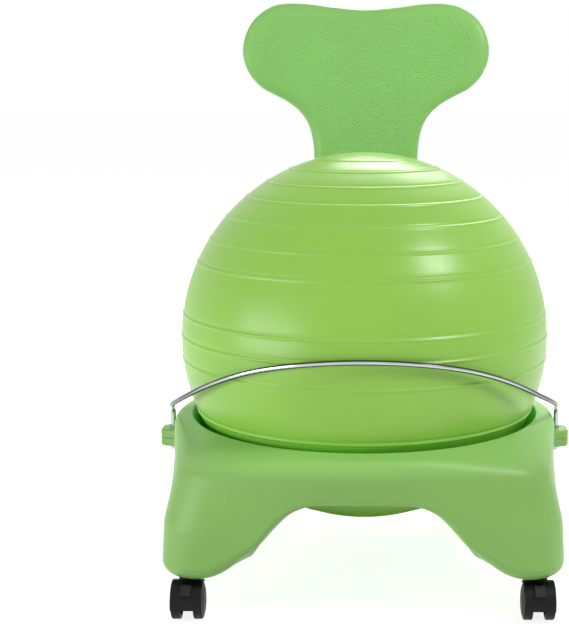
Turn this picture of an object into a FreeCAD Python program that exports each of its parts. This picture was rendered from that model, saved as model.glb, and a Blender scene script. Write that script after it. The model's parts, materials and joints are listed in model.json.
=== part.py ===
import FreeCAD, Part
import math
import os

# Balance ball chair: an inflated ball in a moulded ring on four casters, with a retaining bar and a bolted
# backrest. Millimetres, +Z up. The origin is on the floor, straight under the ball's centre, and the sitter
# faces -Y.

V = FreeCAD.Vector
X_AXIS = V(1, 0, 0)
Y_AXIS = V(0, 1, 0)
Z_AXIS = V(0, 0, 1)
ORIGIN = V(0, 0, 0)
OUT = "parts"

# Ball
BALL_R = 250.0
BALL_Z = 318.0
BALL_WALL = 2.0
RIB_HEIGHT = 0.8
RIB_HALF_ANGLE = 0.45
# Heights of the moulded ribs above the ball's centre
RIB_LEVELS = (-222, -196, -125, -96, -24, 8, 37, 106, 137, 166, 192, 212, 229, 241)
VALVE_BOSS_R = 11.0
VALVE_BOSS_DEPTH = 10.0
VALVE_SEAT_R = 6.0
VALVE_BORE_R = 4.06
PLUG_HEAD_R = 8.5
PLUG_HEAD_H = 2.2
PLUG_STEM_R = 4.0
PLUG_TIP_R = 3.0
PLUG_LENGTH = 11.0

# Seat ring and legs
RIM_R = 238.0
RIM_Z = 215.0
RIM_ROUND = 3.0
LIP_R = 191.5
LIP_Z = 156.0
LIP_ROUND = 2.5
MIDDLE_ROUND = 40.0
LEG_ANGLE = 45.0
# Section (radius, height) of the hollow that runs round inside the ring, and the angle at which it stops
# short of the joints
TUNNEL = ((239.0, 206.0), (256.0, 202.5), (257.5, 181.0), (254.5, 158.5), (207.5, 156.5),
          (203.0, 163.0))
TUNNEL_END_ANGLE = 9.0
# Height, then distance along the leg's diagonal and half width at the inner end, the widest place and
# the outer end
LEG_HOLLOW = ((60.0, (230.0, 14.0), (290.0, 27.0), (322.0, 20.0)),
              (84.0, (232.0, 22.0), (294.0, 46.0), (320.0, 28.0)),
              (120.0, (222.0, 42.0), (272.0, 73.0), (312.0, 30.0)),
              (150.0, (215.0, 58.0), (258.0, 80.0), (298.0, 30.0)),
              (178.0, (226.0, 48.0), (256.0, 60.0), (286.0, 26.0)))
# The ring's section against the angle from the middle of a leg, in degrees: radius and height of the
# shoulder, of the middle of the outer wall, of the lower outer corner and of the lower inner corner, then the
# roundings of the shoulder, the lower outer corner and the lower inner corner
LEG_STATIONS = (
    (0.0, 306.0, 191.0, 334.0, 118.0, 341.0, 52.5, 203.0, 53.5, 28.0, 17.0, 12.0),
    (3.5, 304.0, 191.5, 331.0, 118.0, 337.0, 52.5, 214.0, 56.5, 28.0, 17.0, 12.0),
    (7.0, 297.0, 193.0, 320.0, 119.0, 324.0, 54.5, 227.0, 64.0, 26.0, 16.0, 12.0),
    (10.5, 289.0, 195.0, 306.0, 123.0, 310.5, 64.0, 234.0, 79.0, 24.0, 15.0, 11.0),
    (14.0, 281.5, 197.5, 294.0, 131.0, 299.0, 80.0, 232.0, 100.0, 21.0, 14.0, 10.0),
    (17.5, 275.5, 200.0, 284.0, 142.0, 289.0, 95.0, 224.0, 117.0, 18.0, 12.0, 9.0),
    (21.0, 270.5, 202.5, 276.0, 157.0, 279.5, 121.0, 213.0, 128.0, 15.0, 10.0, 7.0),
    (25.0, 266.5, 205.0, 269.5, 170.0, 270.5, 139.5, 207.0, 138.0, 12.0, 9.0, 6.0),
    (30.0, 264.0, 207.0, 265.5, 178.0, 264.5, 149.5, 205.0, 147.0, 10.0, 8.0, 5.0),
    (37.0, 262.8, 208.5, 263.5, 180.5, 260.5, 152.5, 204.0, 150.0, 9.0, 8.0, 5.0),
    (45.0, 262.5, 209.0, 263.0, 181.0, 259.5, 153.0, 203.5, 150.5, 9.0, 8.0, 5.0),
)

# Lapped ears where the two halves are clamped together
EAR_ROOT_X = 246.0
EAR_END_X = 283.5
EAR_HALF_WIDTH = 15.5
EAR_TOP_Z = 186.0
EAR_SPLIT_Z = 174.5
EAR_BOTTOM_Z = 163.0
EAR_CORNER = 7.0
EAR_EDGE = 2.5
EAR_GAP = 0.4
TONGUE_R = 9.0
TONGUE_LENGTH = 18.0
TONGUE_GAP = 0.25
TONGUE_X = 230.0
TONGUE_Z = 182.0

# Retaining bar
BAR_R = 3.3
BAR_X = 267.2
BAR_BEND_Z = 213.0
BAR_BEND_REACH = 11.0
# Points of one side of the bar from the bend at the ear to the middle of the front
BAR_POINTS = ((257.9, -66.0, 235.5), (231.0, -128.0, 260.3), (188.8, -181.0, 289.0), (133.5, -221.7, 313.2),
              (69.1, -247.3, 327.0), (0.0, -256.5, 331.7))
BAR_FOOT_Z = 155.0
BAR_HOLE_R = 3.6
COLLAR_R = 4.4
COLLAR_H = 2.0
BAR_WASHER_R = 6.2
BAR_WASHER_H = 1.3
BAR_NUT_AF = 10.0
BAR_NUT_H = 4.4

# Backrest
BACK_FRONT_Y = 264.6
BACK_THICKNESS = 30.0
# Height, set back of the face, and how far the face bows forward at BOW_HALF from the middle
BACK_FACE = ((150.0, 0.0, 0.02), (230.0, 0.0, 0.02), (460.0, 0.0, 9.0), (620.0, 5.0, 22.0),
             (800.0, 22.0, 26.0))
BOW_HALF = 190.0
# Distance from the middle, lower edge, upper edge and thickness of the head
HEAD_STATIONS = ((0.0, 597.0, 770.5, 30.0), (50.0, 598.5, 775.0, 30.0), (88.0, 607.0, 779.5, 30.0),
                 (119.0, 631.0, 780.0, 30.0), (141.2, 642.0, 774.5, 29.0), (159.3, 652.0, 763.0, 27.5),
                 (172.3, 665.0, 750.0, 25.0), (181.3, 681.0, 733.0, 20.0), (185.9, 692.0, 721.0, 12.0))
# Height, half width and thickness of the stem, from the foot up into the head
STEM_STATIONS = ((159.0, 62.0, 16.0), (161.5, 71.0, 24.0), (167.0, 78.0, 29.2), (180.0, 80.0, 30.0),
                 (300.0, 80.0, 30.0), (450.0, 79.8, 30.0), (545.0, 79.7, 30.0), (578.0, 81.3, 30.0),
                 (604.0, 90.5, 30.0), (620.0, 104.3, 30.0), (638.0, 123.3, 29.0))
STEM_SINK = 0.3
BACK_ROUND = 9.5
BOW_ROUND = 3000.0
BACK_WALL = 4.0
HEAD_CAVITY_HALF = 160.0
STEM_CAVITY_Z = (290.0, 610.0)
PAD_HALF = 74.0
PAD_TOP_Z = 203.0
PAD_BOTTOM_Z = 159.5
PAD_SINK = 0.6
PAD_FACE_Y = BACK_FRONT_Y + STEM_SINK + PAD_SINK
PAD_GAP = 0.2
PAD_ROOT_Y = 246.0
PAD_CORNER = 5.0
BOLT_X = 46.0
BOLT_Z = (171.0, 192.0)
BOLT_R = 3.0
BOLT_HOLE_R = 3.4
BOLT_HEAD_R = 5.6
BOLT_HEAD_H = 3.6
BOLT_TIP_Y = 247.0
BOLT_KEY_AF = 4.0
BOLT_KEY_DEPTH = 2.2
BACK_WASHER_R = 8.5
BACK_WASHER_H = 1.4
BOLT_RECESS_R = 9.2
BOLT_RECESS_DEPTH = 6.0
BOLT_SEAT_Y = BACK_FRONT_Y + BACK_THICKNESS - STEM_SINK - BOLT_RECESS_DEPTH
INSERT_R = 5.5
INSERT_TIP_Y = 244.0
BOSS_HALF = 12.0

# Casters
CASTER_XY = 219.0
FOOT_Z = 52.5
WHEEL_R = 23.0
WHEEL_WIDTH = 11.4
WHEEL_GAP = 8.2
WHEEL_COVER = 2.0
WHEEL_BORE_R = 3.06
HUB_R = 6.5
RIM_INNER_R = 18.6
RECESS_DEPTH = 7.2
AXLE_R = 3.0
AXLE_HALF = 18.0
TRAIL = 16.0
WEB_HALF = 7.4
# Underside of the web in side view: distance past the axle and height
WEB_BOTTOM = ((-30.0, 15.0), (-4.0, 15.0), (30.0, 21.0))
FENDER_HALF = 19.9
FENDER_IN = 24.1
FENDER_OUT = 26.5
FENDER_ANGLES = (-9.0, 128.0)
NECK_R = 7.4
COLLAR_PLATE_R = 13.0
COLLAR_BOTTOM_Z = 45.0
COLLAR_TOP_Z = 50.1
STEM_TOP_R = 5.5
STEM_FLANGE_R = 9.0
STEM_FLANGE_Z = (50.5, 51.9)
STEM_LOW_R = 4.0
STEM_BORE_R = 4.06
STEM_FOOT_Z = 28.0
STEM_TOP_Z = 90.5
GROOVE_R = 4.4
GROOVE_Z = (78.5, 82.5)
SOCKET_IN_R = 5.55
SOCKET_OUT_R = 7.5
SOCKET_TOP_Z = 92.5
SOCKET_FLANGE_R = 11.5
SOCKET_FLANGE_Z = 52.0
PILLAR_R = 12.5
PILLAR_TOP_Z = 98.5
LEVER_HALF = 6.5
LEVER_ARM_HALF = 2.6
LEVER_SLOT_HALF = 3.1
LEVER_TAB_R = (27.3, 29.7)
LEVER_TAB_ANGLES = (30.0, 61.0)
LEVER_ARM_ANGLES = (53.5, 60.5)
LEVER_SLOT_ANGLES = (45.0, 74.0)
LEVER_SLOT_IN_R = 16.8
LEVER_PIVOT = (21.8, 57.0)
LEVER_EYE_R = 3.0
LEVER_PIN_R = 1.5
LEVER_BORE_R = 1.56
# Place, signs of x and y, whether it has a brake; every caster trails away from the middle of the chair
CASTERS = (
    ("front_left", -1, -1, True),
    ("front_right", 1, -1, True),
    ("rear_left", -1, 1, False),
    ("rear_right", 1, 1, False),
)


def save(name, shape):
    """Writes one node's solids and prints its volume."""
    solids = shape.Solids
    if not solids:
        raise RuntimeError("no solid in " + name)
    made = solids[0] if len(solids) == 1 else Part.makeCompound(solids)
    made.exportStep(os.path.join(OUT, name + ".step"))
    print("%-26s %2d solid  %9.2f cm3  %s" % (name, len(solids), made.Volume / 1000, made.isValid()))


def cylinder(radius, base, end):
    """A round bar between two points."""
    return Part.makeCylinder(radius, (end - base).Length, base, end - base)


def hexagon(across_flats, height, base, direction=Z_AXIS):
    """A hexagonal prism."""
    radius = across_flats / math.sqrt(3)
    corners = [V(radius * math.cos(math.radians(60 * i)), radius * math.sin(math.radians(60 * i)), 0)
               for i in range(6)]
    prism = Part.Face(Part.makePolygon(corners + corners[:1])).extrude(V(0, 0, height))
    prism.Placement = FreeCAD.Placement(base, FreeCAD.Rotation(Z_AXIS, direction))
    return prism


def box(x, y, z):
    """A box from three pairs of limits."""
    return Part.makeBox(x[1] - x[0], y[1] - y[0], z[1] - z[0], V(x[0], y[0], z[0]))


def hollow(outside, cavities):
    """A solid with sealed cavities inside."""
    shells = [outside.Shells[0]] + [s.reversed() for cavity in cavities for s in cavity.Shells]
    return Part.makeSolid(Part.makeCompound(shells))


def corner_cut(before, here, after, radius):
    """Start, middle and end of the arc that rounds one corner of an outline."""
    to_before = (before - here).normalize()
    to_after = (after - here).normalize()
    half = to_before.getAngle(to_after) / 2
    reach = min(radius / math.tan(half), 0.47 * (before - here).Length, 0.47 * (after - here).Length)
    radius = reach * math.tan(half)
    inward = (to_before + to_after).normalize()
    middle = here + inward * (radius / math.sin(half) - radius)
    return here + to_before * reach, middle, here + to_after * reach


def rounded_wire(corners):
    """A closed outline through corners (point, radius)."""
    count = len(corners)
    cuts = []
    for i in range(count):
        here, radius = corners[i]
        cuts.append(corner_cut(corners[i - 1][0], here, corners[(i + 1) % count][0], radius))
    edges = []
    for i in range(count):
        start, middle, end = cuts[i]
        edges.append(Part.Arc(start, middle, end).toShape())
        edges.append(Part.LineSegment(end, cuts[(i + 1) % count][0]).toShape())
    return Part.Wire(edges)


def section_corners(sizes):
    """Corners (radius, height, rounding) of the ring's section, from the rim out and round to the lip."""
    s_r, s_z, m_r, m_z, o_r, o_z, i_r, i_z, s_round, o_round, i_round = sizes
    return [
        (RIM_R, RIM_Z, RIM_ROUND),
        (s_r, s_z, s_round),
        (m_r, m_z, MIDDLE_ROUND),
        (o_r, o_z, o_round),
        (i_r, i_z, i_round),
        (LIP_R, LIP_Z, LIP_ROUND),
    ]


def ring_sections(first):
    """Sections of one half, which spans two legs, from one joint to the other."""
    stations = [(-row[0], row) for row in LEG_STATIONS[::-1]] + [(row[0], row) for row in LEG_STATIONS[1:]]
    turns = [(LEG_ANGLE + offset, row) for offset, row in stations]
    turns += [(90 + LEG_ANGLE + offset, row) for offset, row in stations[1:]]
    wires = []
    for turn, row in turns:
        a = math.radians(first + turn)
        out = V(math.cos(a), math.sin(a), 0)
        corners = [(out * r + Z_AXIS * z, rounding) for r, z, rounding in section_corners(row[1:])]
        wires.append(rounded_wire(corners))
    return wires


def half_hollow(first):
    """The sealed hollow inside one half: a tunnel round the ring and a chamber in each leg."""
    points = [V(r, 0, z) for r, z in TUNNEL]
    section = Part.Face(Part.makePolygon(points + points[:1]))
    made = section.revolve(ORIGIN, Z_AXIS, 180 - 2 * TUNNEL_END_ANGLE)
    made.rotate(ORIGIN, Z_AXIS, first + TUNNEL_END_ANGLE)
    for leg in (LEG_ANGLE, 90 + LEG_ANGLE):
        wires = []
        for z, inner, widest, outer in LEG_HOLLOW:
            side = [inner, widest, outer]
            points = [V(u, t, z) for u, t in side] + [V(u, -t, z) for u, t in side[::-1]]
            wires.append(Part.makePolygon(points + points[:1]))
        chamber = Part.makeLoft(wires, True, True)
        chamber.rotate(ORIGIN, Z_AXIS, first + leg)
        made = made.fuse(chamber)
    return made


def ear(side, low, high, grow=0.0):
    """One of the two lapped ears at a joint, or the space it needs in the other half."""
    x0, x1 = EAR_ROOT_X, EAR_END_X + grow
    y = EAR_HALF_WIDTH + grow
    plan = [(V(x0, -y, 0), 0.5), (V(x1, -y, 0), EAR_CORNER), (V(x1, y, 0), EAR_CORNER), (V(x0, y, 0), 0.5)]
    solid = Part.Face(rounded_wire(plan)).extrude(V(0, 0, high - low + 2 * grow))
    solid.translate(V(0, 0, low - grow))
    return solid if side > 0 else solid.mirror(ORIGIN, X_AXIS)


def rounded_ear(side, low, high, facing):
    """An ear with its outer edge rounded on the face that looks away from the other ear."""
    solid = ear(side, low, high)
    level = high if facing > 0 else low
    edges = [e for e in solid.Edges
             if all(abs(v.Z - level) < 1e-6 for v in e.Vertexes) and abs(e.CenterOfMass.x) > EAR_ROOT_X + 5]
    return solid.makeFillet(EAR_EDGE, edges)


def base_half(first, y_sign):
    """One half of the seat ring with its two legs, moulded hollow."""
    top = y_sign < 0
    reach = (-400, 0) if top else (0, 400)
    outside = Part.makeLoft(ring_sections(first), True, False).common(box((-400, 400), reach, (0, 400)))
    cavity = half_hollow(first)
    for side in (-1, 1):
        own = (EAR_SPLIT_Z + EAR_GAP / 2, EAR_TOP_Z) if top else (EAR_BOTTOM_Z, EAR_SPLIT_Z - EAR_GAP / 2)
        other = (EAR_BOTTOM_Z, EAR_SPLIT_Z) if top else (EAR_SPLIT_Z, EAR_TOP_Z)
        solid = rounded_ear(side, own[0], own[1], 1 if top else -1)
        keep = box((-400, 400), (0, 60) if top else (-60, 0), (0, 400))
        # The part of the ear that laps over the other half starts clear of its wall
        overhang = solid.common(keep).common(
            Part.makeBox(60, 120, 400, V(side * 290 - 30, -60, 0)))
        rooted = solid.cut(keep)
        outside = outside.cut(ear(side, other[0], other[1], EAR_GAP).cut(
            box((-400, 400), (-60, 0) if not top else (0, 60), (0, 400))))
        outside = outside.fuse(rooted).fuse(overhang)
        outside = outside.cut(cylinder(BAR_HOLE_R, V(side * BAR_X, 0, 120), V(side * BAR_X, 0, 200)))
        base = V(side * TONGUE_X, 0, TONGUE_Z)
        if top:
            outside = outside.fuse(cylinder(TONGUE_R, base - Y_AXIS * 4, base + Y_AXIS * TONGUE_LENGTH))
        else:
            outside = outside.cut(cylinder(TONGUE_R + TONGUE_GAP, base - Y_AXIS * 4,
                                           base + Y_AXIS * (TONGUE_LENGTH + 1)))
        spot = V(side * CASTER_XY, y_sign * CASTER_XY, 0)
        outside = outside.cut(cylinder(SOCKET_OUT_R, spot, spot + Z_AXIS * SOCKET_TOP_Z))
        outside = outside.cut(cylinder(SOCKET_FLANGE_R, spot, spot + Z_AXIS * (FOOT_Z + 2.5)))
        cavity = cavity.cut(cylinder(PILLAR_R, spot + Z_AXIS * 30, spot + Z_AXIS * PILLAR_TOP_Z))
    if not top:
        plan = [(V(-PAD_HALF, 0, PAD_BOTTOM_Z), PAD_CORNER), (V(PAD_HALF, 0, PAD_BOTTOM_Z), PAD_CORNER),
                (V(PAD_HALF, 0, PAD_TOP_Z), PAD_CORNER), (V(-PAD_HALF, 0, PAD_TOP_Z), PAD_CORNER)]
        pad = Part.Face(rounded_wire(plan)).extrude(V(0, PAD_FACE_Y - PAD_ROOT_Y, 0))
        pad.translate(V(0, PAD_ROOT_Y, 0))
        outside = outside.fuse(pad)
        for x in (-BOLT_X, BOLT_X):
            cavity = cavity.cut(box((x - BOSS_HALF, x + BOSS_HALF), (150, 300), (100, 250)))
            for z in BOLT_Z:
                outside = outside.cut(cylinder(INSERT_R, V(x, INSERT_TIP_Y, z), V(x, PAD_FACE_Y, z)))
    return hollow(outside.removeSplitter(), cavity.Solids)


def retaining_bar():
    """The chromed rod: a leg through each pair of ears, and a bow that rises round the front of the ball."""
    right = [V(*p) for p in BAR_POINTS]
    bend = V(BAR_X, 0, BAR_BEND_Z)
    start, middle, end = corner_cut(bend - Z_AXIS * 60, bend, right[0], BAR_BEND_REACH)
    left = [V(-p.x, p.y, p.z) for p in right]
    leave = (right[0] - bend).normalize()
    mirrored = [V(-p.x, p.y, p.z) for p in (start, middle, end)]
    points = [end] + right + left[-2::-1] + [mirrored[2]]
    bow = Part.BSplineCurve()
    arrive = V(leave.x, -leave.y, -leave.z)
    bow.interpolate(Points=points, InitialTangent=leave * 100, FinalTangent=arrive * 100)
    foot = V(BAR_X, 0, BAR_FOOT_Z)
    edges = [
        Part.LineSegment(foot, start).toShape(),
        Part.Arc(start, middle, end).toShape(),
        bow.toShape(),
        Part.Arc(mirrored[2], mirrored[1], mirrored[0]).toShape(),
        Part.LineSegment(mirrored[0], V(-BAR_X, 0, BAR_FOOT_Z)).toShape(),
    ]
    profile = Part.Wire(Part.Circle(foot, Z_AXIS, BAR_R).toShape())
    rod = Part.Wire(edges).makePipeShell([profile], True, False)
    for side in (-1, 1):
        low = V(side * BAR_X, 0, EAR_TOP_Z)
        rod = rod.fuse(cylinder(COLLAR_R, low, low + Z_AXIS * COLLAR_H))
    return rod


def bar_washers():
    made = []
    for side in (-1, 1):
        top = V(side * BAR_X, 0, EAR_BOTTOM_Z)
        low = top - Z_AXIS * BAR_WASHER_H
        made.append(cylinder(BAR_WASHER_R, low, top).cut(cylinder(BAR_R, low, top)))
    return Part.makeCompound(made)


def bar_nuts():
    made = []
    for side in (-1, 1):
        top = V(side * BAR_X, 0, EAR_BOTTOM_Z - BAR_WASHER_H)
        low = top - Z_AXIS * BAR_NUT_H
        made.append(hexagon(BAR_NUT_AF, BAR_NUT_H, low).cut(cylinder(BAR_R, low, top)))
    return Part.makeCompound(made)


def ball_skin():
    """The ribbed skin of the ball, with the thick patch round the valve at the bottom."""
    def at(angle, radius):
        a = math.radians(angle)
        return V(radius * math.cos(a), 0, BALL_Z + radius * math.sin(a))

    edges = []
    here = -90.0
    for level in RIB_LEVELS:
        rib = math.degrees(math.asin(level / BALL_R))
        low, high = rib - RIB_HALF_ANGLE, rib + RIB_HALF_ANGLE
        edges.append(Part.Arc(at(here, BALL_R), at((here + low) / 2, BALL_R), at(low, BALL_R)).toShape())
        edges.append(Part.Arc(at(low, BALL_R), at(rib, BALL_R + RIB_HEIGHT), at(high, BALL_R)).toShape())
        here = high
    edges.append(Part.Arc(at(here, BALL_R), at((here + 90) / 2, BALL_R), at(90, BALL_R)).toShape())
    inner = BALL_R - BALL_WALL
    edges.append(Part.LineSegment(at(90, BALL_R), at(90, inner)).toShape())
    edges.append(Part.Arc(at(90, inner), at(0, inner), at(-90, inner)).toShape())
    edges.append(Part.LineSegment(at(-90, inner), at(-90, BALL_R)).toShape())
    skin = Part.Face(Part.Wire(edges)).revolve(ORIGIN, Z_AXIS, 360)
    low = V(0, 0, BALL_Z - BALL_R)
    top = low + Z_AXIS * VALVE_BOSS_DEPTH
    patch = cylinder(VALVE_BOSS_R, low, top).common(Part.makeSphere(BALL_R, V(0, 0, BALL_Z)))
    skin = skin.fuse(patch)
    return skin.cut(cylinder(VALVE_SEAT_R, low - Z_AXIS * 2, top + Z_AXIS * 2))


def valve_seat():
    """The stiff sleeve moulded into the ball that grips the plug."""
    low = V(0, 0, BALL_Z - BALL_R + 0.2)
    top = low + Z_AXIS * (VALVE_BOSS_DEPTH - 0.2)
    return cylinder(VALVE_SEAT_R, low, top).cut(cylinder(VALVE_BORE_R, low, top))


def valve_plug():
    """The push-in plug, with a head to pull it by."""
    face = V(0, 0, BALL_Z - BALL_R - 0.1)
    head = cylinder(PLUG_HEAD_R, face - Z_AXIS * PLUG_HEAD_H, face)
    head = head.makeFillet(0.8, head.Edges[0])
    stem = cylinder(PLUG_STEM_R, face, face + Z_AXIS * (PLUG_LENGTH - 2))
    tip = Part.makeCone(PLUG_STEM_R, PLUG_TIP_R, 2, face + Z_AXIS * (PLUG_LENGTH - 2))
    return head.fuse(stem).fuse(tip).removeSplitter()


def back_face(x, z):
    """Depth of the backrest's face at a place."""
    for low, high in zip(BACK_FACE, BACK_FACE[1:]):
        if z <= high[0]:
            share = (z - low[0]) / (high[0] - low[0])
            set_back = low[1] + (high[1] - low[1]) * share
            bow = low[2] + (high[2] - low[2]) * share
            return BACK_FRONT_Y + set_back - bow * (x / BOW_HALF) ** 2
    raise ValueError(z)


def back_head(wall):
    """The wide head, through upright sections from one side to the other, drawn in by a wall thickness."""
    wires = []
    half = [row for row in HEAD_STATIONS if not wall or row[0] < HEAD_CAVITY_HALF]
    rows = [(-row[0],) + row[1:] for row in half[:0:-1]] + half
    for x, low, high, thick in rows:
        low, high = low + wall, high - wall
        gap = (BACK_THICKNESS - thick) / 2 + wall
        corners = []
        for z, back in ((low, 0), (high, 0), (high, 1), (low, 1)):
            y = back_face(x, z) + (BACK_THICKNESS - gap if back else gap)
            corners.append((V(x, y, z), min(BACK_ROUND, thick / 2 - 1) - wall / 2))
        wires.append(rounded_wire(corners))
    return Part.makeLoft(wires, True, False)


def back_stem(wall):
    """The stem, through level sections from the foot into the head, drawn in by a wall thickness."""
    wires = []
    for z, half, thick in STEM_STATIONS:
        if wall and not STEM_CAVITY_Z[0] < z + 1 < STEM_CAVITY_Z[1]:
            continue
        half = half - wall
        gap = (BACK_THICKNESS - thick) / 2 + wall + STEM_SINK
        corners = []
        for x, back in ((-half, 0), (0.0, 0), (half, 0), (half, 1), (0.0, 1), (-half, 1)):
            y = back_face(x, z) + (BACK_THICKNESS - gap if back else gap)
            corners.append((V(x, y, z), min(BACK_ROUND, thick / 2 - 1) - wall / 2 if x else BOW_ROUND))
        wires.append(rounded_wire(corners))
    return Part.makeLoft(wires, True, False)


def backrest():
    """The moulded backrest: a wide head on a stem, hollow above its bolted foot."""
    blank = back_head(0.0).fuse(back_stem(0.0))
    cavity = back_head(BACK_WALL).fuse(back_stem(BACK_WALL))
    seat = (PAD_HALF + PAD_GAP, PAD_TOP_Z + PAD_GAP)
    blank = blank.cut(box((-seat[0], seat[0]), (PAD_ROOT_Y, PAD_FACE_Y), (140, seat[1])))
    rear_y = BACK_FRONT_Y + BACK_THICKNESS - STEM_SINK
    for x in (-BOLT_X, BOLT_X):
        for z in BOLT_Z:
            rear = V(x, rear_y, z)
            blank = blank.cut(cylinder(BOLT_HOLE_R, rear - Y_AXIS * 60, rear + Y_AXIS))
            blank = blank.cut(cylinder(BOLT_RECESS_R, rear - Y_AXIS * BOLT_RECESS_DEPTH, rear + Y_AXIS))
    return hollow(blank, cavity.Solids)


def back_bolts():
    made = []
    for x in (-BOLT_X, BOLT_X):
        for z in BOLT_Z:
            seat = V(x, BOLT_SEAT_Y + BACK_WASHER_H, z)
            bolt = cylinder(BOLT_R, V(x, BOLT_TIP_Y, z), seat)
            bolt = bolt.fuse(cylinder(BOLT_HEAD_R, seat, seat + Y_AXIS * BOLT_HEAD_H))
            floor = seat + Y_AXIS * (BOLT_HEAD_H - BOLT_KEY_DEPTH)
            key = hexagon(BOLT_KEY_AF, BOLT_KEY_DEPTH + 1, floor, Y_AXIS)
            made.append(bolt.cut(key))
    return Part.makeCompound(made)


def back_washers():
    made = []
    for x in (-BOLT_X, BOLT_X):
        for z in BOLT_Z:
            low = V(x, BOLT_SEAT_Y, z)
            top = low + Y_AXIS * BACK_WASHER_H
            made.append(cylinder(BACK_WASHER_R, low, top).cut(cylinder(BOLT_R + 0.3, low, top)))
    return Part.makeCompound(made)


def back_inserts():
    made = []
    for x in (-BOLT_X, BOLT_X):
        for z in BOLT_Z:
            low = V(x, INSERT_TIP_Y, z)
            top = V(x, PAD_FACE_Y, z)
            made.append(cylinder(INSERT_R, low, top).cut(cylinder(BOLT_R, V(x, BOLT_TIP_Y - 1, z), top)))
    return Part.makeCompound(made)


def sector(radii, angles, half_width):
    """Part of a ring round the axle, between two angles measured from the way the caster trails."""
    def at(radius, angle):
        a = math.radians(angle)
        return V(TRAIL + radius * math.cos(a), -half_width, WHEEL_R + radius * math.sin(a))

    middle = (angles[0] + angles[1]) / 2
    wire = Part.Wire([
        Part.Arc(at(radii[0], angles[0]), at(radii[0], middle), at(radii[0], angles[1])).toShape(),
        Part.LineSegment(at(radii[0], angles[1]), at(radii[1], angles[1])).toShape(),
        Part.Arc(at(radii[1], angles[1]), at(radii[1], middle), at(radii[1], angles[0])).toShape(),
        Part.LineSegment(at(radii[1], angles[0]), at(radii[0], angles[0])).toShape(),
    ])
    return Part.Face(wire).extrude(V(0, 2 * half_width, 0))


def cross_bar(radius, spot, half_width):
    """A round bar across the caster, centred on a spot."""
    return cylinder(radius, spot - Y_AXIS * half_width, spot + Y_AXIS * half_width)


AXLE = V(TRAIL, 0, WHEEL_R)
PIVOT = AXLE + V(LEVER_PIVOT[0] * math.cos(math.radians(LEVER_PIVOT[1])), 0,
                 LEVER_PIVOT[0] * math.sin(math.radians(LEVER_PIVOT[1])))


def caster_hood(brake):
    """The swivelling body: a web between the wheels, a fender over them and a collar round the stem."""
    line = [V(TRAIL + u, -30, z) for u, z in WEB_BOTTOM]
    below = [V(line[-1].x, -30, -20), V(line[0].x, -30, -20)]
    under = Part.Face(Part.makePolygon(line + below + line[:1])).extrude(V(0, 60, 0))
    web = cross_bar(FENDER_IN + 0.4, AXLE, WEB_HALF).cut(under)
    neck = cylinder(NECK_R, V(0, 0, STEM_FOOT_Z - 4), V(0, 0, COLLAR_TOP_Z))
    collar = cylinder(COLLAR_PLATE_R, V(0, 0, COLLAR_BOTTOM_Z), V(0, 0, COLLAR_TOP_Z))
    collar = collar.makeFillet(1.2, collar.Edges[0])
    hood = web.fuse(neck).fuse(collar).fuse(sector((FENDER_IN, FENDER_OUT), FENDER_ANGLES, FENDER_HALF))
    for side in (-1, 1):
        near = AXLE + Y_AXIS * side * WEB_HALF
        hood = hood.cut(cylinder(FENDER_IN, near, near + Y_AXIS * side * 20))
    hood = hood.cut(cylinder(STEM_BORE_R, V(0, 0, STEM_FOOT_Z - 0.5), V(0, 0, COLLAR_TOP_Z + 1)))
    hood = hood.cut(cross_bar(AXLE_R, AXLE, 30))
    if brake:
        slot = sector((LEVER_SLOT_IN_R, FENDER_OUT + 1), LEVER_SLOT_ANGLES, LEVER_SLOT_HALF)
        hood = hood.cut(slot).cut(cross_bar(LEVER_PIN_R, PIVOT, WEB_HALF))
    return hood


def caster_axle():
    return cross_bar(AXLE_R, AXLE, AXLE_HALF)


def caster_wheel(side):
    """One wheel: tread, side cover and hub, turned about the axle."""
    outer = WHEEL_GAP + WHEEL_WIDTH
    profile = [
        (WHEEL_BORE_R, WHEEL_GAP),
        (HUB_R, WHEEL_GAP),
        (HUB_R, WHEEL_GAP + RECESS_DEPTH),
        (RIM_INNER_R, WHEEL_GAP + RECESS_DEPTH),
        (RIM_INNER_R, WHEEL_GAP),
        (WHEEL_R - 1.2, WHEEL_GAP),
        (WHEEL_R, WHEEL_GAP + 1.2),
        (WHEEL_R, outer - 1.8),
        (WHEEL_R - 2.2, outer),
        (WHEEL_R - 5.0, outer + WHEEL_COVER * 0.7),
        (WHEEL_R - 12.0, outer + WHEEL_COVER),
        (0.0, outer + WHEEL_COVER),
        (0.0, AXLE_HALF + 0.3),
        (WHEEL_BORE_R, AXLE_HALF + 0.3),
    ]
    points = [AXLE + V(0, side * y, r) for r, y in profile]
    face = Part.Face(Part.makePolygon(points + points[:1]))
    return face.revolve(AXLE, Y_AXIS, 360)


def brake_lever():
    """The foot tab outside the fender and the arm that carries it on its pin."""
    tab = sector(LEVER_TAB_R, LEVER_TAB_ANGLES, LEVER_HALF)
    arm = sector((LEVER_PIVOT[0] - 1.0, LEVER_TAB_R[1]), LEVER_ARM_ANGLES, LEVER_ARM_HALF)
    eye = cross_bar(LEVER_EYE_R, PIVOT, LEVER_ARM_HALF)
    return tab.fuse(arm).fuse(eye).cut(cross_bar(LEVER_BORE_R, PIVOT, 10))


def brake_pin():
    return cross_bar(LEVER_PIN_R, PIVOT, WEB_HALF)


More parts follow.
